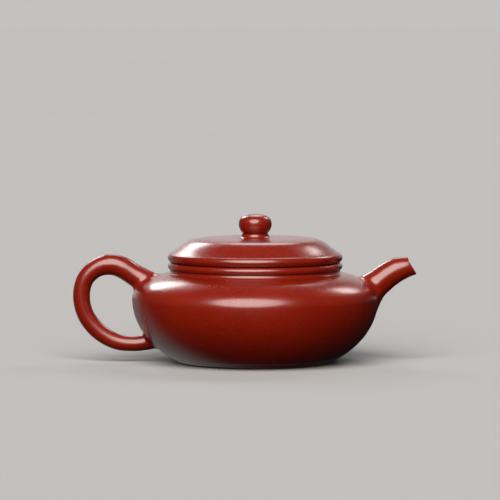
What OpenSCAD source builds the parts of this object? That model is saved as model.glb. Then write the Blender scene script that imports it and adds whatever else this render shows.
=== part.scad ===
// Flat, drum-bodied clay teapot: double-line lid, bead knob, short curved spout and ear handle.
// Millimetres. The origin is the centre of the foot on the table, +Z is up and +X points at the spout.
// Every piece is the one a potter makes by itself and lutes on with slip before the firing.

/* [Body] */
// Widest diameter of the body
body_d = 107.4; // [104:0.2:110]
// Height of the widest line above the table
belly_z = 28; // [27:0.5:29]
// Thickness of the body's wall
wall = 2.8; // [2.4:0.1:3]
// Half-width of the ellipse that draws the body below its widest line
lower_a = 41.5; // [40:0.5:42]
// Half-height of the ellipse that draws the body below its widest line
lower_b = 32; // [31.8:0.1:32.6]
// Half-width of the ellipse that draws the shoulder
upper_a = 25; // [24:0.5:26]
// Half-height of the ellipse that draws the shoulder
upper_b = 12.1; // [11.8:0.1:12.4]

/* [Foot and base] */
// Height of the hollow under the base
foot_h = 2.2; // [1.8:0.1:2.6]
// Inner radius of the foot ring
foot_in_r = 29.5; // [28:0.5:30]
// Thickness of the base disc
base_t = 2.8; // [2.4:0.1:3]

/* [Mouth] */
// Radius of the opening that takes the lid's flange
mouth_r = 34.2; // [33.8:0.1:34.4]
// Radius of the short neck under the mouth line
neck_r = 37.1; // [36.8:0.1:37.4]
// Radius of the mouth line and of the lid line over it
line_r = 38.1; // [37.8:0.1:38.4]
// Height of the face that the lid rests on
seat_z = 43.9; // [43.5:0.1:44.3]
// Height of the mouth line
mouth_line_h = 3.3; // [3:0.1:3.5]

/* [Lid] */
// Gap between the lid and its seat
seat_gap = 0.1; // [0.05:0.05:0.2]
// Gap between the lid's flange and the mouth, on the radius
flange_gap = 0.3; // [0.2:0.05:0.4]
// Depth of the flange below the seat
flange_depth = 8; // [6:0.5:9]
// Thickness of the flange
flange_t = 2.4; // [2:0.1:2.8]
// Height of the lid line
lid_line_h = 4; // [3.8:0.1:4.2]
// Height of the lid's flat centre above the table
lid_top_z = 54.6; // [54.4:0.1:54.8]
// Radius of the steam vent through the knob and the lid
vent_r = 1.1; // [0.8:0.1:1.3]

/* [Knob] */
// Radius of the bead at its widest
bead_r = 7.2; // [6.9:0.1:7.5]
// Height of the bead's widest line above the table
bead_z = 60.6; // [60.4:0.1:60.8]
// Height of the bead above its widest line
bead_up = 4.3; // [4:0.1:4.6]
// Height of the collar under the bead
collar_h = 1.7; // [1.5:0.1:1.9]

/* [Strainer] */
// Outer radius of the dome that strains the tea behind the spout
dome_r = 7.5; // [7:0.1:8]
// Thickness of the dome
dome_t = 1.3; // [1.1:0.1:1.5]
// Radius of each strainer hole
strain_r = 0.8; // [0.6:0.05:0.9]
// Radius of the opening in the wall behind the spout
outlet_r = 5; // [4.8:0.1:5.2]

/* [Hidden] */
$fn = 96;

belly_r = body_d / 2;
floor_z = foot_h + base_t;
base_r = foot_in_r + 4;
// The wall stops and the shoulder disc begins at this radius.
seam_r = 45;
// The shoulder's top is flat from here inwards, so that the neck ring has a level bed.
neck_bed_z = 39.1;
mouth_line_z = seat_z - mouth_line_h;
lid_line_z = seat_z + seat_gap;
lid_bed_z = lid_line_z + lid_line_h;
flange_r = mouth_r - flange_gap;
collar_z = lid_top_z;
bead_bed_z = collar_z + collar_h;
lower_x = belly_r - lower_a;
upper_x = belly_r - upper_a;
outlet_z = 30;
past = 1; // how far a cutting shape runs past what it cuts

// Spout and handle: each station is [x, z, radius] on the middle plane.
SPOUT = [
    [44.0, 25.4, 8.8], [48.6, 29.8, 7.4], [51.8, 33.1, 6.4], [54.0, 35.1, 6.0],
    [57.5, 37.9, 5.7], [61.2, 40.1, 5.4], [64.9, 41.5, 4.9], [68.5, 42.2, 4.05], [73.0, 43.0, 3.5]
];
SPOUT_BORE = [
    [42.0, 25.0, 5.4], [48.2, 29.2, 5.0], [51.6, 32.0, 4.6], [55.2, 35.6, 4.2],
    [60.0, 39.3, 3.8], [65.0, 41.4, 3.2], [68.4, 42.2, 2.6], [75.0, 43.5, 2.5]
];
HANDLE = [
    [-41.0, 30.4, 6.2], [-46.4, 34.3, 5.5], [-52.8, 38.3, 4.85], [-58.2, 41.6, 4.75],
    [-63.5, 42.8, 4.6], [-69.6, 41.0, 4.0], [-74.4, 36.0, 3.75], [-75.9, 28.5, 3.7],
    [-73.9, 20.5, 3.7], [-68.6, 13.7, 3.7], [-61.1, 9.2, 3.5], [-53.2, 8.1, 3.3],
    [-46.4, 9.0, 3.5], [-40.0, 10.6, 3.8]
];
sides = 36; // round a swept tube
steps = 4; // rings from one station to the next

// Points on an ellipse about [cx, cz], from angle t0 to t1, both included.
function arc(cx, cz, a, b, t0, t1, n) =
    [for (i = [0:n]) let (t = t0 + (t1 - t0) * i / n) [cx + a * cos(t), cz + b * sin(t)]];
function bezier(p, n) =
    [for (i = [0:n]) let (t = i / n, u = 1 - t)
        u * u * u * p[0] + 3 * u * u * t * p[1] + 3 * u * t * t * p[2] + t * t * t * p[3]];
// The same points without the first, to carry on from the curve before.
function tail(p) = [for (i = [1:len(p) - 1]) p[i]];

// The body's outer line (inset 0) and its inner line (inset wall), below and above the widest line.
function lower_t(z, inset = 0) = asin((z - belly_z) / (lower_b - inset));
function upper_t(r, inset = 0) = acos((r - upper_x) / (upper_a - inset));
function upper_t_at(z) = asin((z - belly_z) / upper_b);
function lower_curve(t0, t1, inset = 0, n = 20) =
    arc(lower_x, belly_z, lower_a - inset, lower_b - inset, t0, t1, n);
function upper_curve(t0, t1, inset = 0, n = 12) =
    arc(upper_x, belly_z, upper_a - inset, upper_b - inset, t0, t1, n);
// A bead's rounded side, proud of the radius it is laid on.
function bead_side(r, proud, z, h, n = 10) = arc(r - proud, z + h / 2, proud, h / 2, -90, 90, n);

// A quarter of a rounded form that is flatter on top than an ellipse is.
function flat_topped(z, r, h, t0, t1, n, power = 0.8) =
    [for (i = [0:n]) let (t = t0 + (t1 - t0) * i / n)
        [r * pow(cos(t), power), z + h * pow(sin(t), power)]];

// A smooth curve through stations, by the Catmull-Rom rule.
function between(a, b, c, d, t) =
    0.5 * (2 * b + (c - a) * t + (2 * a - 5 * b + 4 * c - d) * t * t
        + (3 * b - a - 3 * c + d) * t * t * t);
function smooth(s) = concat(
    [for (i = [0:len(s) - 2], k = [0:steps - 1])
        between(s[max(i - 1, 0)], s[i], s[i + 1], s[min(i + 2, len(s) - 1)], k / steps)],
    [s[len(s) - 1]]
);
function heading(p, i) =
    let (d = p[min(i + 1, len(p) - 1)] - p[max(i - 1, 0)], m = norm([d[0], d[1]])) [d[0] / m, d[1] / m];
// One ring of a tube: the section is square to the route and lies across the middle plane.
function ring(p, i) =
    let (h = heading(p, i))
        [for (k = [0:sides - 1]) let (a = 360 * k / sides, out = p[i][2] * cos(a))
            [p[i][0] - h[1] * out, p[i][2] * sin(a), p[i][1] + h[0] * out]];

module tube(stations) {
    p = smooth(stations);
    n = len(p);
    polyhedron(
        points = [for (i = [0:n - 1]) each ring(p, i)],
        faces = concat(
            [[for (k = [sides - 1:-1:0]) k]],
            [for (i = [0:n - 2], k = [0:sides - 1]) let (a = i * sides, b = a + sides, m = (k + 1) % sides)
                each [[a + k, a + m, b + m], [a + k, b + m, b + k]]],
            [[for (k = [0:sides - 1]) (n - 1) * sides + k]]
        )
    );
}

// The whole body as one solid, to trim what is luted to its outside.
module body_solid() {
    rotate_extrude() polygon(concat(
        [[0, 0]],
        lower_curve(lower_t(0), lower_t(foot_h), n = 2),
        lower_curve(lower_t(foot_h), 0),
        upper_curve(0, upper_t(seam_r)),
        upper_curve(upper_t(seam_r), upper_t_at(neck_bed_z), n = 6),
        [[0, neck_bed_z]]
    ));
}

// The room inside the wall, to trim what is luted to its inside.
module inner_solid() {
    rotate_extrude() polygon(concat(
        [[0, floor_z]],
        lower_curve(lower_t(floor_z, wall), 0, wall),
        upper_curve(0, upper_t(mouth_r, wall), wall),
        [[0, belly_z + (upper_b - wall) * sin(upper_t(mouth_r, wall))]]
    ));
}

module outlet(r, length) {
    translate([belly_r - length, 0, outlet_z]) rotate([0, 90, 0]) cylinder(r = r, h = length + past);
}

module foot_ring() {
    color("#6e1d12") rotate_extrude() polygon(concat(
        [[foot_in_r, foot_h], [foot_in_r, 0.3], [foot_in_r + 0.3, 0]],
        lower_curve(lower_t(0), lower_t(foot_h), n = 2)
    ));
}

module base_disc() {
    dish = 0.9; // the centre is pressed up this far
    color("#6e1d12") rotate_extrude() polygon(concat(
        [[0, foot_h + dish]],
        arc(0, foot_h, foot_in_r, dish, 84, 0, 8),
        [[base_r, foot_h], [base_r, floor_z]],
        arc(0, floor_z, foot_in_r, dish, 0, 84, 8),
        [[0, floor_z + dish]]
    ));
}

module body_wall() {
    color("#8c2414") difference() {
        rotate_extrude() polygon(concat(
            lower_curve(lower_t(foot_h), 0),
            upper_curve(0, upper_t(seam_r)),
            upper_curve(upper_t(seam_r, wall), 0, wall),
            lower_curve(0, lower_t(floor_z, wall), wall),
            [[base_r, floor_z], [base_r, foot_h]]
        ));
        outlet(outlet_r, length = 12);
    }
}

module shoulder_disc() {
    color("#8c2414") rotate_extrude() polygon(concat(
        upper_curve(upper_t(seam_r), upper_t_at(neck_bed_z), n = 6),
        [[mouth_r, neck_bed_z]],
        upper_curve(upper_t(mouth_r, wall), upper_t(seam_r, wall), wall, n = 6)
    ));
}

module neck_ring() {
    toe = 1.2; // the neck spreads this far onto the shoulder
    color("#8c2414") rotate_extrude() polygon(concat(
        [[mouth_r, mouth_line_z], [mouth_r, neck_bed_z]],
        arc(neck_r + toe, mouth_line_z, toe, mouth_line_z - neck_bed_z, -90, -180, 6)
    ));
}

module mouth_line() {
    color("#8c2414") rotate_extrude() polygon(concat(
        [[mouth_r, seat_z], [mouth_r, mouth_line_z]],
        bead_side(line_r, 1.6, mouth_line_z, mouth_line_h)
    ));
}

// Perforated dome over the wall's outlet, with rings of holes that all point at its centre.
module ball_strainer() {
    sink = 1.4; // the dome's centre lies this far inside the wall's face
    centre_x = belly_r - wall - sink;
    inner_r = dome_r - dome_t;
    color("#7a2013") difference() {
        intersection() {
            difference() {
                translate([centre_x, 0, outlet_z]) sphere(r = dome_r);
                translate([centre_x, 0, outlet_z]) sphere(r = inner_r);
            }
            inner_solid();
        }
        for (tier = [0:3], k = [0:max(tier * 6 - 1, 0)])
            translate([centre_x, 0, outlet_z])
                rotate([360 * k / max(tier * 6, 1) + 5, 0, 0]) rotate([0, -90 + tier * 18, 0])
                    translate([0, 0, inner_r - 0.6]) cylinder(r = strain_r, h = dome_t + past, $fn = 16);
    }
}

module spout() {
    tip = [68.45, 42.1]; // middle of the lip
    lip_angle = 31.5; // the lip leans back this far from upright
    reach = 30; // side of the block that trims the lip
    color("#8c2414") difference() {
        tube(SPOUT);
        tube(SPOUT_BORE);
        body_solid();
        translate([tip[0], 0, tip[1]]) rotate([0, -lip_angle, 0])
            translate([0, -reach / 2, -reach / 2]) cube(reach);
    }
}

module handle() {
    color("#8c2414") difference() {
        tube(HANDLE);
        body_solid();
    }
}

module vent() {
    cylinder(r = vent_r, h = bead_z + bead_up + past, $fn = 32);
}

module lid_disc() {
    pad_r = 7.4; // level patch under the knob's collar
    crown_r = 27.4; // the gentle dome ends here and the side begins
    crown_z = lid_top_z - 0.85;
    toe_r = line_r - 1.5; // the disc meets the lid line here
    thick = 3.4; // at the centre
    dome_z = lid_top_z - thick;
    under_r = flange_r - flange_t;
    color("#8c2414") difference() {
        rotate_extrude() polygon(concat(
            [[0, lid_top_z]],
            bezier([[pad_r, lid_top_z], [14, lid_top_z], [23.5, lid_top_z + 0.1], [crown_r, crown_z]], 10),
            tail(bezier([[crown_r, crown_z], [30.4, crown_z - 0.75], [33.4, 49.9], [toe_r, lid_bed_z]], 12)),
            bezier([[under_r, lid_bed_z], [30.2, 50.2], [26, dome_z - 0.6], [pad_r, dome_z]], 8),
            [[0, dome_z]]
        ));
        vent();
    }
}

module lid_line() {
    color("#8c2414") rotate_extrude() polygon(concat(
        [[flange_r, lid_bed_z], [flange_r, lid_line_z]],
        bead_side(line_r, 1.8, lid_line_z, lid_line_h)
    ));
}

module lid_flange() {
    edge = 0.6; // rounding at the flange's foot
    foot = seat_z - flange_depth;
    color("#7a2013") rotate_extrude() polygon(concat(
        [[flange_r - flange_t, lid_bed_z]],
        arc(flange_r - flange_t + edge, foot + edge, edge, edge, 180, 270, 4),
        arc(flange_r - edge, foot + edge, edge, edge, 270, 360, 4),
        [[flange_r, lid_bed_z]]
    ));
}

module knob_collar() {
    top_r = 5.8; // waist under the bead
    base = 7.2; // radius where it stands on the lid
    color("#8c2414") difference() {
        rotate_extrude() polygon(concat(
            [[0, collar_z]],
            arc(base, bead_bed_z, base - top_r, collar_h, -90, -180, 6),
            [[0, bead_bed_z]]
        ));
        vent();
    }
}

module knob_bead() {
    down = 6.2; // the lower half is deeper, and is cut off level where it meets the collar
    color("#8c2414") difference() {
        rotate_extrude() polygon(concat(
            [[0, bead_bed_z]],
            arc(0, bead_z, bead_r, down, asin((bead_bed_z - bead_z) / down), 0, 10),
            flat_topped(bead_z, bead_r, bead_up, 9, 90, 12)
        ));
        vent();
    }
}

foot_ring();
base_disc();
body_wall();
shoulder_disc();
neck_ring();
mouth_line();
ball_strainer();
spout();
handle();
lid_disc();
lid_line();
lid_flange();
knob_collar();
knob_bead();
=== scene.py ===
"""Flat drum teapot of red stoneware: builds every visible piece round the packed model, then the stage."""

import math

import bmesh
import bpy
from bpy.props import FloatProperty, FloatVectorProperty, PointerProperty
from bpy.types import Operator, Panel, PropertyGroup
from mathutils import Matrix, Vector
from mathutils.bvhtree import BVHTree


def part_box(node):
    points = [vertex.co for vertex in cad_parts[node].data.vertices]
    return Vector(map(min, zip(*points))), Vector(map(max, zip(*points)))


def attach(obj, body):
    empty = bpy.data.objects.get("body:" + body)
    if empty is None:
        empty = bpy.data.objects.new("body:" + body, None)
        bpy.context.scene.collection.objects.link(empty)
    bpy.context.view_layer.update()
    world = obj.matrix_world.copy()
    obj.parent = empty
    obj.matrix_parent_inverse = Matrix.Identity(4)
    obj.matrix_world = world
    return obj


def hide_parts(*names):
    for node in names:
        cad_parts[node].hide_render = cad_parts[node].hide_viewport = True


bl_info = {
    "name": "Drum teapot",
    "version": (1, 0, 0),
    "blender": (4, 5, 0),
    "location": "View3D > Sidebar > Teapot",
    "description": "Throws, lutes and polishes a flat drum-bodied clay teapot",
    "category": "Add Mesh",
}

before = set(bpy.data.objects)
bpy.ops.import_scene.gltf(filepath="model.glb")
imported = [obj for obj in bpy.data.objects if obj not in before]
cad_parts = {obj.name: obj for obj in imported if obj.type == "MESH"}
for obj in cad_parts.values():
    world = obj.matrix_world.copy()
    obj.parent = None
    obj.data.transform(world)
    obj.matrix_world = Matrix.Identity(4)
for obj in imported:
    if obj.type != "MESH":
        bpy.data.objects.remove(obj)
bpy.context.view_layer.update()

MM = 0.001
TURN_STEPS = 160  # faces round a turned piece
TUBE_SIDES = 64  # faces round the spout and the handle
WELD = 2e-6  # points closer than this are one point
FACES_DOWN = -0.9  # a face whose normal's z is under this faces straight down
FLATTEN = 0.8  # power that flattens the knob's top; 1 gives an ellipse

# Shader sockets that share their name with another are reached by number.
SHARE, VALUE_A, VALUE_B, COLOUR_A, COLOUR_B = 0, 2, 3, 6, 7  # Mix
MIXED_VALUE, MIXED_COLOUR = 0, 2  # Mix, outputs
GIVEN, FROM_LOW, FROM_HIGH, TO_LOW, TO_HIGH = range(5)  # Map Range


# ---------------------------------------------------------------- places taken from the frame


def foot_of(node):
    """Height of a node's lowest point, in metres."""
    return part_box(node)[0].z


def top_of(node):
    """Height of a node's highest point, in metres."""
    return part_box(node)[1].z


def radius_of(node):
    """Outer radius of a round node about the pot's axis, in metres."""
    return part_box(node)[1].y


# ---------------------------------------------------------------- sizes and colours a user changes


def length(name, description, default):
    """A length that the panel shows in the scene's unit."""
    return FloatProperty(
        name=name, description=description, default=default,
        min=0.0, precision=5, unit="LENGTH", subtype="DISTANCE",
    )


class TeapotBodySizes(PropertyGroup):
    """The drum: two half-ellipses that meet at the widest line."""

    belly_radius: length("Belly radius", "Radius at the widest line", radius_of("body_wall"))
    belly_height: length("Belly height", "Height of the widest line above the table", 28 * MM)
    lower_width: length("Lower half-width", "Half-width of the ellipse under the widest line", 41.5 * MM)
    lower_height: length("Lower half-height", "Half-height of the ellipse under the widest line", 32 * MM)
    upper_width: length("Shoulder half-width", "Half-width of the shoulder's ellipse", 25 * MM)
    upper_height: length("Shoulder half-height", "Half-height of the shoulder's ellipse", 12.1 * MM)
    seam_radius: length("Seam radius", "Where the wall stops and the shoulder disc begins", 45 * MM)
    wall: length("Wall", "Thickness of the clay", 2.8 * MM)
    foot_inner_radius: length("Foot inner radius", "Inner radius of the foot ring", 29.5 * MM)
    base_dish: length("Base rise", "How far the base is pressed up at its centre", 0.9 * MM)
    outlet_radius: length("Outlet radius", "Opening in the wall behind the spout", 5 * MM)
    outlet_height: length("Outlet height", "Height of the outlet's centre", 30 * MM)


class TeapotMouthSizes(PropertyGroup):
    """Neck and mouth line."""

    opening_radius: length("Opening radius", "Radius of the mouth", 34.2 * MM)
    neck_radius: length("Neck radius", "Radius of the neck under the mouth line", 37.1 * MM)
    line_proud: length("Line stand-out", "How far the mouth line stands out of its bed", 1.6 * MM)
    edge: length("Edge rounding", "Rounding of the mouth's inner edge", 0.45 * MM)


class TeapotLidSizes(PropertyGroup):
    """Lid disc, lid line and flange."""

    pad_radius: length("Knob pad radius", "Level patch under the knob", 7.4 * MM)
    crown_radius: length("Crown radius", "Where the gentle dome ends and the side begins", 27.4 * MM)
    crown_drop: length("Crown drop", "How far the top falls from its pad to the crown's edge", 0.85 * MM)
    line_proud: length("Line stand-out", "How far the lid line stands out of its bed", 1.8 * MM)
    flange_thickness: length("Flange thickness", "Thickness of the flange", 2.4 * MM)
    thickness: length("Thickness", "Thickness of the lid at its centre", 3.4 * MM)
    vent_radius: length("Vent radius", "Radius of the steam vent", 1.1 * MM)


class TeapotKnobSizes(PropertyGroup):
    """Collar and bead."""

    widest_height: length("Widest height", "Height of the bead's widest line above the table", 60.6 * MM)
    lower_height: length("Lower half-height", "Half-height of the ellipse under the widest line", 6.2 * MM)
    waist_radius: length("Waist radius", "Radius of the collar's top", 5.8 * MM)


class TeapotClay(PropertyGroup):
    """Colours and polish of the fired clay."""

    body: FloatVectorProperty(
        name="Polished clay", description="Main colour of the polished clay",
        default=(0.1600, 0.0068, 0.0010), min=0, max=1, subtype="COLOR",
    )
    deep: FloatVectorProperty(
        name="Deep tone", description="Where the firing left the clay darker",
        default=(0.1150, 0.0042, 0.0007), min=0, max=1, subtype="COLOR",
    )
    roughness: FloatProperty(
        name="Roughness", description="Roughness of the polished clay",
        default=0.27, min=0, max=1, subtype="FACTOR",
    )


# ---------------------------------------------------------------- outlines, (radius, height) in metres


def arc(centre, half_width, half_height, start, end, steps):
    """Points on an ellipse from one angle to another, in degrees, both included."""
    angles = [math.radians(start + (end - start) * i / steps) for i in range(steps + 1)]
    return [(centre[0] + half_width * math.cos(a), centre[1] + half_height * math.sin(a)) for a in angles]


def bezier(points, steps):
    """Points on a cubic curve, both ends included."""
    curve = []
    for i in range(steps + 1):
        t = i / steps
        u = 1 - t
        weights = (u ** 3, 3 * u * u * t, 3 * u * t * t, t ** 3)
        curve.append(tuple(sum(w * p[k] for w, p in zip(weights, points)) for k in (0, 1)))
    return curve


def lower_side(size, start_z, end_z, inset=0.0, steps=36):
    """The body's line from one height to another, under the widest line."""
    half_width, half_height = size.lower_width - inset, size.lower_height - inset
    centre = (size.belly_radius - size.lower_width, size.belly_height)
    start, end = (math.degrees(math.asin((z - centre[1]) / half_height)) for z in (start_z, end_z))
    return arc(centre, half_width, half_height, start, end, steps)


def upper_angle(size, radius, inset=0.0):
    """Angle on the shoulder's ellipse at a radius, in degrees."""
    across = (radius - size.belly_radius + size.upper_width) / (size.upper_width - inset)
    return math.degrees(math.acos(across))


def crest_angle(size):
    """Angle on the shoulder's ellipse where the shoulder disc ends under the neck, in degrees."""
    return math.degrees(math.asin((top_of("shoulder_disc") - size.belly_height) / size.upper_height))


def upper_side(size, start, end, inset=0.0, steps=24):
    """The body's line from one angle to another, over the widest line."""
    centre = (size.belly_radius - size.upper_width, size.belly_height)
    return arc(centre, size.upper_width - inset, size.upper_height - inset, start, end, steps)


def flat_topped(height, radius, rise, start, end, steps):
    """A quarter of a rounded form that is flatter on top than an ellipse is."""
    curve = []
    for i in range(steps + 1):
        angle = math.radians(start + (end - start) * i / steps)
        curve.append((radius * math.cos(angle) ** FLATTEN, height + rise * math.sin(angle) ** FLATTEN))
    return curve


def bead_side(radius, proud, bottom, top, steps=16):
    """The rounded side of a raised line."""
    return arc((radius - proud, (bottom + top) / 2), proud, (top - bottom) / 2, -90, 90, steps)


# ---------------------------------------------------------------- work at the bench


def clear_selection():
    """Leaves edit mode with nothing selected."""
    if bpy.context.mode != "OBJECT":
        bpy.ops.object.mode_set(mode="OBJECT")
    bpy.ops.object.select_all(action="DESELECT")


def finish_mesh(piece, smooth_angle=32):
    """Welds the seams, turns every face outwards and shades the piece."""
    bpy.ops.object.mode_set(mode="EDIT")
    bpy.ops.mesh.select_all(action="SELECT")
    bpy.ops.mesh.remove_doubles(threshold=WELD)
    bpy.ops.mesh.normals_make_consistent(inside=False)
    bpy.ops.object.mode_set(mode="OBJECT")
    bpy.ops.object.shade_smooth_by_angle(angle=math.radians(smooth_angle))
    return piece


def turn_piece(name, outline, steps=TURN_STEPS):
    """Turns a closed outline round the pot's axis. Its edges that lie on the axis are left out."""
    clear_selection()
    bpy.ops.mesh.primitive_circle_add(vertices=len(outline), radius=10 * MM, fill_type="NOTHING")
    piece = bpy.context.object
    piece.name = name
    for vertex, (radius, height) in zip(piece.data.vertices, outline):
        vertex.co = (radius, 0, height)
    bpy.ops.object.mode_set(mode="EDIT")
    bpy.ops.mesh.select_all(action="DESELECT")
    mesh = bmesh.from_edit_mesh(piece.data)
    for edge in mesh.edges:
        edge.select_set(all(abs(v.co.x) < WELD for v in edge.verts))
    bmesh.update_edit_mesh(piece.data)
    bpy.ops.mesh.delete(type="EDGE")
    bpy.ops.mesh.select_all(action="SELECT")
    bpy.ops.mesh.spin(steps=steps, angle=math.tau, center=(0, 0, 0), axis=(0, 0, 1))
    bpy.ops.object.mode_set(mode="OBJECT")
    return finish_mesh(piece)


def draw_tube(name, rings, smooth_angle=45):
    """Extrudes a ring through all the others. Rings that shrink to a point or meet the first are welded."""
    clear_selection()
    sides = len(rings[0])
    bpy.ops.mesh.primitive_circle_add(vertices=sides, radius=5 * MM, fill_type="NOTHING")
    piece = bpy.context.object
    piece.name = name
    for vertex, point in zip(piece.data.vertices, rings[0]):
        vertex.co = point
    bpy.ops.object.mode_set(mode="EDIT")
    bpy.ops.mesh.select_all(action="SELECT")
    for ring in rings[1:]:
        bpy.ops.mesh.extrude_edges_indiv()
        mesh = bmesh.from_edit_mesh(piece.data)
        mesh.verts.ensure_lookup_table()
        for vertex, point in zip(mesh.verts[-sides:], ring):
            vertex.co = point
        bmesh.update_edit_mesh(piece.data)
    return finish_mesh(piece, smooth_angle)


def cut_away(piece, cutter):
    """Cuts one piece out of another with a Boolean, and removes the cutter."""
    clear_selection()
    bpy.context.view_layer.objects.active = piece
    piece.select_set(True)
    cut = piece.modifiers.new("Cut", "BOOLEAN")
    cut.operation = "DIFFERENCE"
    cut.solver = "EXACT"
    cut.object = cutter
    bpy.ops.object.modifier_apply(modifier=cut.name)
    bpy.data.objects.remove(cutter)


def place(piece, body, node, slot, *materials):
    """Gives a finished piece its materials and ties it to the frame."""
    piece.data.materials.clear()
    for material in materials:
        piece.data.materials.append(material)
    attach(piece, body)
    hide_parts(node)


def inside_is_raw(piece, is_raw):
    """Gives the second material, the raw clay, to the faces whose centre and normal pass the test."""
    for face in piece.data.polygons:
        if is_raw(face.center, face.normal):
            face.material_index = 1


# ---------------------------------------------------------------- tubes that grow out of the body


def between(a, b, c, d, t):
    """A value on the Catmull-Rom curve from b to c."""
    return 0.5 * (
        2 * b + (c - a) * t + (2 * a - 5 * b + 4 * c - d) * t * t + (3 * b - a - 3 * c + d) * t ** 3
    )


def smooth_route(stations, steps):
    """A smooth curve through stations of (x, z, radius)."""
    route = []
    for i in range(len(stations) - 1):
        a, b = stations[max(i - 1, 0)], stations[i]
        c, d = stations[i + 1], stations[min(i + 2, len(stations) - 1)]
        for k in range(steps):
            route.append(tuple(between(*values, k / steps) for values in zip(a, b, c, d)))
    route.append(stations[-1])
    return route


def ring_at(centre, radius, heading):
    """A round section centred on the middle plane, square to a heading: an angle above +X, in radians."""
    points = []
    for k in range(TUBE_SIDES):
        angle = math.tau * k / TUBE_SIDES
        out, across = radius * math.cos(angle), radius * math.sin(angle)
        x, z = centre[0] - math.sin(heading) * out, centre[1] + math.cos(heading) * out
        points.append(Vector((x, across, z)))
    return points


def rings_along(stations, steps):
    """Rings square to a route through stations of (x, z, radius), in millimetres."""
    route = smooth_route([tuple(v * MM for v in station) for station in stations], steps)
    rings = []
    for i, (x, z, radius) in enumerate(route):
        before, after = route[max(i - 1, 0)], route[min(i + 1, len(route) - 1)]
        heading = math.atan2(after[1] - before[1], after[0] - before[0])
        rings.append(ring_at((x, z), radius, heading))
    return rings


def body_skin(size):
    """The body's outer surface as a search tree, for pieces that are luted to it."""
    fine, faces_round = 60, 360
    top = top_of("shoulder_disc")
    outline = lower_side(size, 0.0, size.belly_height, steps=fine)
    outline += upper_side(size, 0.0, crest_angle(size), steps=fine)[1:]
    outline += [(0.0, top), (0.0, 0.0)]
    shell = turn_piece("skin", outline, steps=faces_round)
    points, faces = [v.co for v in shell.data.vertices], [p.vertices for p in shell.data.polygons]
    tree = BVHTree.FromPolygons(points, faces)
    bpy.data.objects.remove(shell)
    return tree


def is_under(skin, point):
    """Whether a point lies under the body's skin."""
    near, normal = skin.find_nearest(point)[:2]
    return (point - near).dot(normal) < 0


def walked_back(line, index, start, width):
    """The fractional index on a line of points a width back from a start that lies past an index."""
    left, ahead = width, start
    while index > 0:
        gap = (ahead - line[index]).length
        if gap >= left:
            break
        left -= gap
        ahead = line[index]
        index -= 1
    span = (line[index + 1] - line[index]).length
    return index + (ahead - line[index]).length / span - left / span


def luted(skin, rings, widths, tube_steps=48, fillet_steps=12):
    """Runs a tube down to the skin and spreads it there in a hollow fillet, tangent to both.

    The rings go from the tube's free end to inside the body. Each line along the tube is followed until it
    meets the skin. The fillet starts its width before that point, and ends on the skin its width beside it.
    Returns the rings, the last of them just under the skin, and the point where the tube's middle meets it.
    """
    sink = 0.04 * MM  # the last ring lies this far under the skin, so that no gap shows
    columns, meetings = [], []
    for k, width in enumerate(widths):
        line = [ring[k] for ring in rings]
        last = next(i for i, point in enumerate(line) if is_under(skin, point)) - 1
        meeting = skin.ray_cast(line[last], (line[last + 1] - line[last]).normalized())[0]
        meetings.append(meeting)
        normal = skin.find_nearest(meeting)[1]
        middle = sum(rings[last], Vector()) / len(rings[last])
        away = line[last] - middle
        away = (away - away.dot(normal) * normal).normalized()
        begin = walked_back(line, last, meeting, width)
        column = []
        for j in range(tube_steps + 1):
            share = begin * j / tube_steps
            whole = min(int(share), len(line) - 2)
            column.append(line[whole].lerp(line[whole + 1], share - whole))
        whole = int(begin)
        along = (line[whole + 1] - line[whole]).normalized()
        foot, foot_normal = skin.find_nearest(meeting + away * width)[:2]
        corner = column[-1] + along * ((foot - column[-1]).dot(foot_normal) / along.dot(foot_normal))
        foot = foot - foot_normal * sink
        for j in range(1, fillet_steps + 1):
            t = j / fillet_steps
            column.append((1 - t) ** 2 * column[tube_steps] + 2 * t * (1 - t) * corner + t * t * foot)
        columns.append(column)
    heart = skin.find_nearest(sum(meetings, Vector()) / len(meetings))[0]
    return [list(ring) for ring in zip(*columns)], heart


def widths_round(above, beside, below):
    """Fillet widths round a tube, from over it to under it."""
    widths = []
    for k in range(TUBE_SIDES):
        upward = math.cos(math.tau * k / TUBE_SIDES)
        over, under = max(upward, 0) ** 2, max(-upward, 0) ** 2
        widths.append(beside + (above - beside) * over + (below - beside) * under)
    return widths


def bedded(skin, points, depth=1.3 * MM):
    """Points moved to a depth inside the wall."""
    moved = []
    for point in points:
        near, normal = skin.find_nearest(point)[:2]
        moved.append(near - normal * depth)
    return moved


def closed_root(skin, feet, heart):
    """Rings that close a root inside the wall, ending in one point."""
    rings = []
    for share in (0.2, 0.5, 0.8):
        rings.append(bedded(skin, [foot.lerp(heart, share) for foot in feet]))
    rings.append(bedded(skin, [heart]) * len(feet))
    return rings


# ---------------------------------------------------------------- clay


def from_hex(code):
    """An sRGB hex colour as linear light with alpha."""
    values = [int(code[i:i + 2], 16) / 255 for i in (1, 3, 5)]
    return (*(v / 12.92 if v <= 0.04045 else ((v + 0.055) / 1.055) ** 2.4 for v in values), 1.0)


def wire(tree, kind, values=None, links=None, **settings):
    """Adds a node with its settings, socket values and links."""
    node = tree.nodes.new(kind)
    for name, value in settings.items():
        setattr(node, name, value)
    for socket, value in (values or {}).items():
        node.inputs[socket].default_value = value
    for socket, output in (links or {}).items():
        tree.links.new(output, node.inputs[socket])
    return node


def new_material(name):
    """An empty material with an output, its tree and object coordinates."""
    material = bpy.data.materials.new(name)
    material.use_nodes = True
    tree = material.node_tree
    tree.nodes.clear()
    coordinates = wire(tree, "ShaderNodeTexCoord")
    return material, tree, coordinates.outputs["Object"]


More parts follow.
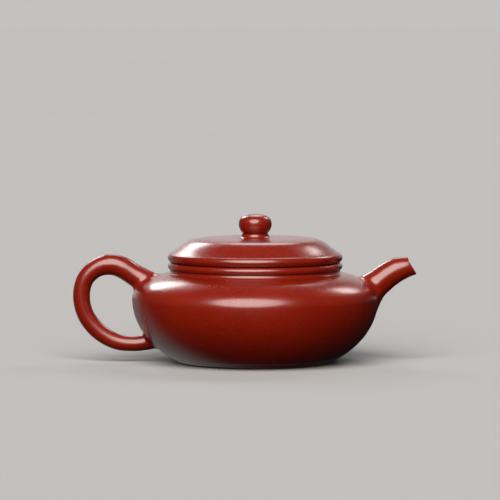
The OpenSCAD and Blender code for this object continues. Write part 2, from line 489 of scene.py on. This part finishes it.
def polished_red_clay(clay):
    """Iron-rich stoneware, pressed smooth before firing and rubbed to a soft shine in use.

    The pressing brings up fine clay, so the eye gets an even brick red with faint clouds from the kiln,
    pin-point sand, and a satin gloss like worn leather.
    """
    material, tree, place_on = new_material("polished_red_clay")
    cloud = wire(tree, "ShaderNodeTexNoise", {"Scale": 1 / (22 * MM), "Detail": 3.0, "Roughness": 0.55},
                 {"Vector": place_on})
    tone = wire(tree, "ShaderNodeMix", {COLOUR_A: (*clay.deep, 1), COLOUR_B: (*clay.body, 1)},
                {SHARE: cloud.outputs["Fac"]}, data_type="RGBA")
    sand = wire(tree, "ShaderNodeTexVoronoi", {"Scale": 1 / (1.1 * MM)}, {"Vector": place_on})
    speck = wire(tree, "ShaderNodeMapRange", {FROM_LOW: 0.10, FROM_HIGH: 0.22, TO_LOW: 0.16, TO_HIGH: 0.0},
                 {GIVEN: sand.outputs["Distance"]})
    colour = wire(tree, "ShaderNodeMix", {COLOUR_B: from_hex("#B65A36")},
                  {SHARE: speck.outputs[0], COLOUR_A: tone.outputs[MIXED_COLOUR]}, data_type="RGBA")
    grain = wire(tree, "ShaderNodeTexNoise", {"Scale": 1 / (0.7 * MM), "Detail": 2.0}, {"Vector": place_on})
    fine = wire(tree, "ShaderNodeBump", {"Strength": 0.30, "Distance": 0.04 * MM},
                {"Height": grain.outputs["Fac"]})
    smoothest, roughest = clay.roughness - 0.03, clay.roughness + 0.04
    polish = wire(tree, "ShaderNodeMapRange",
                  {FROM_LOW: 0.3, FROM_HIGH: 0.7, TO_LOW: smoothest, TO_HIGH: roughest},
                  {GIVEN: cloud.outputs["Fac"]})
    shader = wire(tree, "ShaderNodeBsdfPrincipled",
                  {"IOR": 1.5, "Coat Weight": 0.25, "Coat Roughness": 0.18, "Coat IOR": 1.5},
                  {"Base Color": colour.outputs[MIXED_COLOUR], "Roughness": polish.outputs[0],
                   "Normal": fine.outputs[0]})
    wire(tree, "ShaderNodeOutputMaterial", {}, {"Surface": shader.outputs[0]})
    return material


def raw_red_clay():
    """The same clay where no tool pressed it, inside the pot and under it.

    Unpressed clay keeps its open grain, so it is matt, a little paler, and sandy to look at.
    """
    material, tree, place_on = new_material("raw_red_clay")
    cloud = wire(tree, "ShaderNodeTexNoise", {"Scale": 1 / (9 * MM), "Detail": 4.0}, {"Vector": place_on})
    tone = wire(tree, "ShaderNodeMix", {COLOUR_A: from_hex("#6B2417"), COLOUR_B: from_hex("#8A3A26")},
                {SHARE: cloud.outputs["Fac"]}, data_type="RGBA")
    grain = wire(tree, "ShaderNodeTexNoise", {"Scale": 1 / (0.5 * MM), "Detail": 3.0}, {"Vector": place_on})
    rough = wire(tree, "ShaderNodeBump", {"Strength": 0.45, "Distance": 0.12 * MM},
                 {"Height": grain.outputs["Fac"]})
    dry = wire(tree, "ShaderNodeMapRange", {FROM_LOW: 0.3, FROM_HIGH: 0.7, TO_LOW: 0.62, TO_HIGH: 0.8},
               {GIVEN: grain.outputs["Fac"]})
    shader = wire(tree, "ShaderNodeBsdfPrincipled", {"IOR": 1.5},
                  {"Base Color": tone.outputs[MIXED_COLOUR], "Roughness": dry.outputs[0],
                   "Normal": rough.outputs[0]})
    wire(tree, "ShaderNodeOutputMaterial", {}, {"Surface": shader.outputs[0]})
    return material


def clays(context):
    """The two finishes, made once."""
    made = bpy.data.materials
    polished = made.get("polished_red_clay") or polished_red_clay(context.scene.teapot_clay)
    raw = made.get("raw_red_clay") or raw_red_clay()
    return polished, raw


# ---------------------------------------------------------------- operators, one for each piece or group


class TEAPOT_OT_foot(Operator):
    """Foot ring and base disc"""

    bl_idname = "teapot.foot"
    bl_label = "Foot and base"

    def execute(self, context):
        size = context.scene.teapot_body
        polished, raw = clays(context)
        bed = top_of("foot_ring")
        edge = 0.5 * MM
        worn = 0.35 * MM  # the outer edge is rounded up to here
        outer = lower_side(size, worn, bed, steps=6)
        inner = size.foot_inner_radius
        rim = lower_side(size, 0.0, bed, steps=1)[0][0]
        outline = [(inner, bed)]
        outline += arc((inner + edge, edge), edge, edge, 180, 270, 6)
        outline += [(rim - edge, 0.0), (rim - 0.2 * edge, 0.1 * MM)]
        ring = turn_piece("foot_ring_piece", outline + outer)
        place(ring, "pot", "foot_ring", "pot_clay", polished, raw)
        inside_is_raw(ring, lambda centre, normal: normal.z < FACES_DOWN)

        floor = top_of("base_disc") - size.base_dish
        rise = size.base_dish
        reach = radius_of("base_disc")
        outline = arc((0, bed), inner, rise, 90, 0, 24) + [(reach, bed), (reach, floor)]
        outline += arc((0, floor), inner, rise, 0, 90, 24)
        disc = turn_piece("base_disc_piece", outline)
        place(disc, "pot", "base_disc", "pot_clay", raw)
        return {"FINISHED"}


class TEAPOT_OT_drum(Operator):
    """Body wall, with its outlet, and shoulder disc"""

    bl_idname = "teapot.drum"
    bl_label = "Wall and shoulder"

    def execute(self, context):
        size = context.scene.teapot_body
        mouth = context.scene.teapot_mouth
        polished, raw = clays(context)
        wall = size.wall
        foot, floor = foot_of("body_wall"), top_of("base_disc") - size.base_dish
        seam, inner_seam = upper_angle(size, size.seam_radius), upper_angle(size, size.seam_radius, wall)

        outline = lower_side(size, foot, size.belly_height) + upper_side(size, 0, seam)[1:]
        outline += upper_side(size, inner_seam, 0, wall)
        outline += lower_side(size, size.belly_height, floor, wall)[1:]
        reach = radius_of("base_disc")
        outline += [(reach, floor), (reach, foot)]
        drum = turn_piece("body_wall_piece", outline)
        clear_selection()
        drill, depth_inside = 14 * MM, 5 * MM  # length of the cutter, and its middle under the belly's line
        bpy.ops.mesh.primitive_cylinder_add(
            vertices=TUBE_SIDES, radius=size.outlet_radius, depth=drill,
            location=(size.belly_radius - depth_inside, 0, size.outlet_height), rotation=(0, math.pi / 2, 0),
        )
        cut_away(drum, bpy.context.object)
        place(drum, "pot", "body_wall", "pot_clay", polished, raw)
        inside_is_raw(drum, lambda centre, normal: normal.x * centre.x + normal.y * centre.y < 0)

        bed = top_of("shoulder_disc")
        outline = upper_side(size, seam, crest_angle(size), steps=12) + [(mouth.opening_radius, bed)]
        inner_mouth = upper_angle(size, mouth.opening_radius, wall)
        outline += upper_side(size, inner_mouth, inner_seam, wall, steps=12)
        shoulder = turn_piece("shoulder_disc_piece", outline)
        place(shoulder, "pot", "shoulder_disc", "pot_clay", polished, raw)
        inside_is_raw(shoulder, lambda centre, normal: normal.z < 0)
        return {"FINISHED"}


class TEAPOT_OT_mouth(Operator):
    """Neck ring and mouth line"""

    bl_idname = "teapot.mouth"
    bl_label = "Neck and mouth line"

    def execute(self, context):
        mouth = context.scene.teapot_mouth
        polished = clays(context)[0]
        inner = mouth.opening_radius
        low, high = foot_of("neck_ring"), top_of("neck_ring")
        toe = radius_of("neck_ring") - mouth.neck_radius
        outline = [(inner, high), (inner, low)]
        outline += arc((mouth.neck_radius + toe, high), toe, high - low, -90, -180, 10)
        neck = turn_piece("neck_ring_piece", outline)
        place(neck, "pot", "neck_ring", "pot_clay", polished)

        top, edge = top_of("mouth_line"), mouth.edge
        outline = [(inner, high)]
        outline += bead_side(radius_of("mouth_line"), mouth.line_proud, high, top)
        outline += arc((inner + edge, top - edge), edge, edge, 90, 180, 6)
        line = turn_piece("mouth_line_piece", outline)
        place(line, "pot", "mouth_line", "pot_clay", polished)
        return {"FINISHED"}


class TEAPOT_OT_strainer(Operator):
    """Ball strainer, which keeps its frame shape and gets its finish"""

    bl_idname = "teapot.strainer"
    bl_label = "Ball strainer"

    def execute(self, context):
        raw = clays(context)[1]
        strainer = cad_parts["ball_strainer"]
        strainer.data.materials.clear()
        strainer.data.materials.append(raw)
        return {"FINISHED"}


class TEAPOT_OT_spout(Operator):
    """Spout with its bore, lip and the fillet at its root"""

    bl_idname = "teapot.spout"
    bl_label = "Spout"

    def execute(self, context):
        size = context.scene.teapot_body
        polished = clays(context)[0]
        skin = body_skin(size)
        # Stations are (x, z, radius) in millimetres on the middle plane, from the root to the lip.
        outer = rings_along([
            (46.0, 28.4, 8.2), (49.2, 31.2, 7.2), (51.75, 33.4, 6.5), (54.0, 35.15, 6.0),
            (57.5, 37.9, 5.7), (61.2, 40.15, 5.4), (64.9, 41.45, 4.85), (68.45, 42.1, 4.05),
        ], steps=10)
        outer.reverse()
        lean = math.radians(31.5)
        tip = Vector((68.45, 0, 42.1)) * MM
        lip_radius, bore_radius = 4.02 * MM, 2.6 * MM
        half_wall = (lip_radius - bore_radius) / 2
        roll, roll_steps = 0.3 * MM, 8  # the lip's rounding
        lip = []
        for k in range(roll_steps + 1):
            angle = math.pi * k / roll_steps
            forward = roll * (math.sin(angle) - 1)
            radius = bore_radius + half_wall + half_wall * math.cos(angle)
            centre = (tip.x + forward * math.cos(lean), tip.z + forward * math.sin(lean))
            lip.append(ring_at(centre, radius, lean))
        trimmed = 4  # rings that would pass through the leaning lip
        outer = luted(skin, outer[trimmed:], widths_round(2.1 * MM, 3.6 * MM, 5.6 * MM))[0]
        outer.reverse()
        bore_steps = 6
        bore = rings_along([
            (53.2, 31.8, 4.6), (54.6, 33.6, 4.45), (57.0, 37.0, 4.05), (61.0, 39.8, 3.6),
            (65.0, 41.4, 3.2), (67.4, 42.0, 2.75),
        ], bore_steps)[bore_steps:]  # the first stretch only gives the curve its start
        bore.reverse()
        # The rim lines the outlet with a little clearance, part of the way into the wall.
        outside, clearance, depth = 80 * MM, 0.03 * MM, 1.4 * MM
        rim = []
        for k in range(TUBE_SIDES):
            angle = math.tau * k / TUBE_SIDES
            radius = size.outlet_radius - clearance
            height = size.outlet_height + radius * math.cos(angle)
            start = Vector((outside, radius * math.sin(angle), height))
            touch = skin.ray_cast(start, Vector((-1, 0, 0)))[0]
            rim.append(touch - Vector((depth, 0, 0)))
        bed = bedded(skin, [a.lerp(b, 0.5) for a, b in zip(outer[0], rim)])
        rings = [rim, bed] + outer + lip + bore + [rim]
        spout = draw_tube("spout_piece", rings)
        place(spout, "pot", "spout", "pot_clay", polished)
        return {"FINISHED"}


class TEAPOT_OT_handle(Operator):
    """Ear handle with a fillet at each root"""

    bl_idname = "teapot.handle"
    bl_label = "Handle"

    def execute(self, context):
        size = context.scene.teapot_body
        polished = clays(context)[0]
        skin = body_skin(size)
        # Stations are (x, z, radius) in millimetres on the middle plane, from the upper root to the lower.
        rings = rings_along([
            (-41.0, 30.4, 6.2), (-46.4, 34.3, 5.5), (-52.8, 38.3, 4.85), (-58.2, 41.6, 4.75),
            (-63.5, 42.8, 4.6), (-69.6, 41.0, 4.0), (-74.4, 36.0, 3.75), (-75.88, 28.5, 3.7),
            (-73.9, 20.5, 3.7), (-68.6, 13.7, 3.7), (-61.1, 9.2, 3.5), (-53.2, 8.1, 3.3),
            (-46.4, 9.0, 3.5), (-40.0, 10.6, 3.8),
        ], steps=12)
        middle = len(rings) // 2
        upper, upper_heart = luted(skin, rings[middle::-1], widths_round(2.4 * MM, 2.8 * MM, 3.0 * MM))
        lower, lower_heart = luted(skin, rings[middle:], [2.2 * MM] * TUBE_SIDES)
        upper += closed_root(skin, upper[-1], upper_heart)
        upper.reverse()
        rings = upper + lower[1:] + closed_root(skin, lower[-1], lower_heart)
        handle = draw_tube("handle_piece", rings)
        place(handle, "pot", "handle", "pot_clay", polished)
        return {"FINISHED"}


class TEAPOT_OT_lid(Operator):
    """Lid disc, lid line and flange"""

    bl_idname = "teapot.lid"
    bl_label = "Lid"

    def execute(self, context):
        lid = context.scene.teapot_lid
        polished, raw = clays(context)
        top, bed = top_of("lid_disc"), top_of("lid_line")
        line_radius = radius_of("lid_line")
        flange_radius = radius_of("lid_flange")
        under = flange_radius - lid.flange_thickness
        pad, crown, vent = lid.pad_radius, lid.crown_radius, lid.vent_radius
        fold = top - lid.crown_drop
        toe = radius_of("lid_disc")
        gentle = [(pad, top), (14 * MM, top), (23.5 * MM, top + 0.1 * MM), (crown, fold)]
        outline = [(vent, top)] + bezier(gentle, 24)
        ogee = [(crown, fold), (30.4 * MM, fold - 0.75 * MM), (33.4 * MM, bed + 2 * MM), (toe, bed)]
        outline += bezier(ogee, 28)[1:]
        outline += [(under, bed)]
        dome = top - lid.thickness
        hollow = [(under, bed + 0.01 * MM), (30.2 * MM, dome - MM), (26 * MM, dome - 0.6 * MM), (pad, dome)]
        outline += bezier(hollow, 20)
        outline += [(vent, dome)]
        disc = turn_piece("lid_disc_piece", outline)
        place(disc, "lid", "lid_disc", "pot_clay", polished, raw)
        faces_under = -0.1
        inside_is_raw(disc, lambda centre, normal: normal.z < faces_under and centre.z < dome + MM)

        bottom = foot_of("lid_line")
        outline = [(flange_radius, bed), (flange_radius, bottom)]
        outline += bead_side(line_radius, lid.line_proud, bottom, bed)
        line = turn_piece("lid_line_piece", outline)
        place(line, "lid", "lid_line", "pot_clay", polished)

        foot, edge = foot_of("lid_flange"), 0.6 * MM
        outline = [(under, bed)]
        outline += arc((under + edge, foot + edge), edge, edge, 180, 270, 6)
        outline += arc((flange_radius - edge, foot + edge), edge, edge, 270, 360, 6)
        outline += [(flange_radius, bed)]
        flange = turn_piece("lid_flange_piece", outline)
        place(flange, "lid", "lid_flange", "inner_clay", raw)
        return {"FINISHED"}


class TEAPOT_OT_knob(Operator):
    """Knob collar and bead, with the steam vent"""

    bl_idname = "teapot.knob"
    bl_label = "Knob"

    def execute(self, context):
        knob, lid = context.scene.teapot_knob, context.scene.teapot_lid
        polished = clays(context)[0]
        vent = lid.vent_radius
        low, high = foot_of("knob_collar"), top_of("knob_collar")
        base, waist = radius_of("knob_collar"), knob.waist_radius
        flare = arc((base, high), base - waist, high - low, -90, -180, 12)
        collar = turn_piece("knob_collar_piece", [(vent, low)] + flare + [(vent, high)])
        place(collar, "lid", "knob_collar", "pot_clay", polished)

        widest, crest = radius_of("knob_bead"), top_of("knob_bead")
        middle = knob.widest_height
        down = knob.lower_height
        start = math.degrees(math.asin((high - middle) / down))
        bevel = 0.25 * MM  # the vent's mouth is softened this far out
        end = math.degrees(math.acos(((vent + bevel) / widest) ** (1 / FLATTEN)))
        outline = [(vent, high)] + arc((0, middle), widest, down, start, 0, 20)
        outline += flat_topped(middle, widest, crest - middle, 0, end, 32)[1:]
        outline += [(vent + 0.07 * MM, crest - 0.08 * MM), (vent, crest - 0.3 * MM)]
        bead = turn_piece("knob_bead_piece", outline)
        place(bead, "lid", "knob_bead", "pot_clay", polished)
        return {"FINISHED"}


def lay_floor():
    """A wide sheet of pale paper."""
    reach = 40  # metres, so that its edge meets the horizon
    bpy.ops.mesh.primitive_circle_add(vertices=96, radius=reach, fill_type="NGON")
    floor = bpy.context.object
    floor.name = "floor"
    material, tree, place_on = new_material("studio_paper")
    cloud = wire(tree, "ShaderNodeTexNoise", {"Scale": 2.0}, {"Vector": place_on})
    tone = wire(tree, "ShaderNodeMix", {COLOUR_A: from_hex("#989A9C"), COLOUR_B: from_hex("#9B9D9F")},
                {SHARE: cloud.outputs["Fac"]}, data_type="RGBA")
    shader = wire(tree, "ShaderNodeBsdfDiffuse", {}, {"Color": tone.outputs[MIXED_COLOUR]})
    wire(tree, "ShaderNodeOutputMaterial", {}, {"Surface": shader.outputs[0]})
    floor.data.materials.append(material)
    # The pot stands as on a dark table: it neither mirrors the pale paper nor is lit from below by it.
    floor.visible_glossy = False
    floor.visible_diffuse = False


def light_room():
    """A dim room with a glow low down behind the pot. The camera sees plain paper up to the horizon."""
    world = bpy.data.worlds.new("studio")
    world.use_nodes = True
    tree = world.node_tree
    direction = wire(tree, "ShaderNodeTexCoord").outputs["Generated"]
    parts = wire(tree, "ShaderNodeSeparateXYZ", {}, {0: direction})
    room = wire(tree, "ShaderNodeMapRange", {FROM_LOW: -0.10, FROM_HIGH: 0.10, TO_LOW: 0.01, TO_HIGH: 0.07},
                {GIVEN: parts.outputs["Z"]}, interpolation_type="SMOOTHSTEP")
    behind = wire(tree, "ShaderNodeMapRange", {FROM_LOW: 0.80, FROM_HIGH: 0.97, TO_LOW: 0.0, TO_HIGH: 1.0},
                  {GIVEN: parts.outputs["Y"]}, interpolation_type="SMOOTHSTEP")
    low = wire(tree, "ShaderNodeMapRange", {FROM_LOW: -0.06, FROM_HIGH: 0.02, TO_LOW: 0.0, TO_HIGH: 0.7},
               {GIVEN: parts.outputs["Z"]}, interpolation_type="SMOOTHSTEP")
    backdrop = wire(tree, "ShaderNodeMath", {},
                    {0: behind.outputs[0], 1: low.outputs[0], 2: room.outputs[0]}, operation="MULTIPLY_ADD")
    # A weak glow from the table's far left corner lights the edge of the drum on the handle's side.
    corner = wire(tree, "ShaderNodeVectorMath", {1: Vector((-0.45, 0.80, -0.40))}, {0: direction},
                  operation="DOT_PRODUCT")
    faint = wire(tree, "ShaderNodeMapRange", {FROM_LOW: 0.80, FROM_HIGH: 0.98, TO_LOW: 0.0, TO_HIGH: 0.28},
                 {GIVEN: corner.outputs["Value"]}, interpolation_type="SMOOTHSTEP")
    glow = wire(tree, "ShaderNodeMath", {}, {0: backdrop.outputs[0], 1: faint.outputs[0]}, operation="ADD")
    paper_brightness = 0.56
    ray = wire(tree, "ShaderNodeLightPath")
    strength = wire(tree, "ShaderNodeMix", {VALUE_B: paper_brightness},
                    {SHARE: ray.outputs["Is Camera Ray"], VALUE_A: glow.outputs[0]})
    background = tree.nodes["Background"]
    background.inputs["Color"].default_value = from_hex("#FDFBF9")
    tree.links.new(strength.outputs[MIXED_VALUE], background.inputs["Strength"])
    bpy.context.scene.world = world


def hang_lights():
    """Soft round lights, so far away that the floor is lit evenly.

    Azimuth is from the camera's side round to the right, and the spread is the light's angle across, in
    degrees. The radiance is that of its face.
    """
    for name, azimuth, elevation, spread, radiance, colour in (
        ("key", -8, 37, 60, 8.2, "#FFF6EE"),
        ("rim", -157, 31, 17, 9.0, "#FFFFFF"),
        ("side", 140, 38, 16, 9.0, "#FFF8F4"),
        ("back", 178, 42, 20, 4.0, "#FFFFFF"),
    ):
        turn, rise = math.radians(azimuth), math.radians(elevation)
        spot = Vector((math.sin(turn) * math.cos(rise), -math.cos(turn) * math.cos(rise), math.sin(rise)))
        bpy.ops.object.light_add(type="SUN", location=spot)
        lamp = bpy.context.object
        lamp.name = name
        lamp.rotation_euler = spot.to_track_quat("Z", "Y").to_euler()
        lamp.data.angle = math.radians(spread)
        lamp.data.energy = radiance * math.tau * (1 - math.cos(math.radians(spread / 2)))
        lamp.data.color = from_hex(colour)[:3]


def set_camera():
    """A long lens at the pot's side, from a little above."""
    distance, height, side = 1.5, 0.151, -2.26 * MM
    look_down = 3.885  # degrees
    bpy.ops.object.camera_add(location=(side, -distance, height))
    camera = bpy.context.object
    camera.rotation_euler = (math.radians(90 - look_down), 0, 0)
    camera.data.lens = 248
    camera.data.clip_end = 200
    bpy.context.scene.camera = camera


class TEAPOT_OT_stage(Operator):
    """Pale floor, soft lights and the camera"""

    bl_idname = "teapot.stage"
    bl_label = "Stage"

    def execute(self, context):
        clear_selection()
        lay_floor()
        light_room()
        context.scene.view_settings.view_transform = "Standard"
        hang_lights()
        set_camera()
        return {"FINISHED"}


BUILD_ORDER = (
    TEAPOT_OT_foot, TEAPOT_OT_drum, TEAPOT_OT_mouth, TEAPOT_OT_strainer, TEAPOT_OT_spout, TEAPOT_OT_handle,
    TEAPOT_OT_lid, TEAPOT_OT_knob, TEAPOT_OT_stage,
)
GROUPS = {
    "teapot_body": TeapotBodySizes,
    "teapot_mouth": TeapotMouthSizes,
    "teapot_lid": TeapotLidSizes,
    "teapot_knob": TeapotKnobSizes,
    "teapot_clay": TeapotClay,
}


class TEAPOT_PT_bench(Panel):
    """Sizes, clay and the build steps"""

    bl_idname = "TEAPOT_PT_bench"
    bl_label = "Drum teapot"
    bl_space_type = "VIEW_3D"
    bl_region_type = "UI"
    bl_category = "Teapot"

    def draw(self, context):
        layout = self.layout
        for attribute, group in GROUPS.items():
            box = layout.box()
            box.label(text=group.__doc__)
            for name in group.__annotations__:
                box.prop(getattr(context.scene, attribute), name)
        for step in BUILD_ORDER:
            layout.operator(step.bl_idname)


def register():
    for group in (*GROUPS.values(), *BUILD_ORDER, TEAPOT_PT_bench):
        bpy.utils.register_class(group)
    for attribute, group in GROUPS.items():
        setattr(bpy.types.Scene, attribute, PointerProperty(type=group))


def unregister():
    for attribute in GROUPS:
        delattr(bpy.types.Scene, attribute)
    for group in reversed((*GROUPS.values(), *BUILD_ORDER, TEAPOT_PT_bench)):
        bpy.utils.unregister_class(group)


def main():
    register()
    bpy.ops.teapot.foot()
    bpy.ops.teapot.drum()
    bpy.ops.teapot.mouth()
    bpy.ops.teapot.strainer()
    bpy.ops.teapot.spout()
    bpy.ops.teapot.handle()
    bpy.ops.teapot.lid()
    bpy.ops.teapot.knob()
    bpy.ops.teapot.stage()


if __name__ == "__main__":
    main()
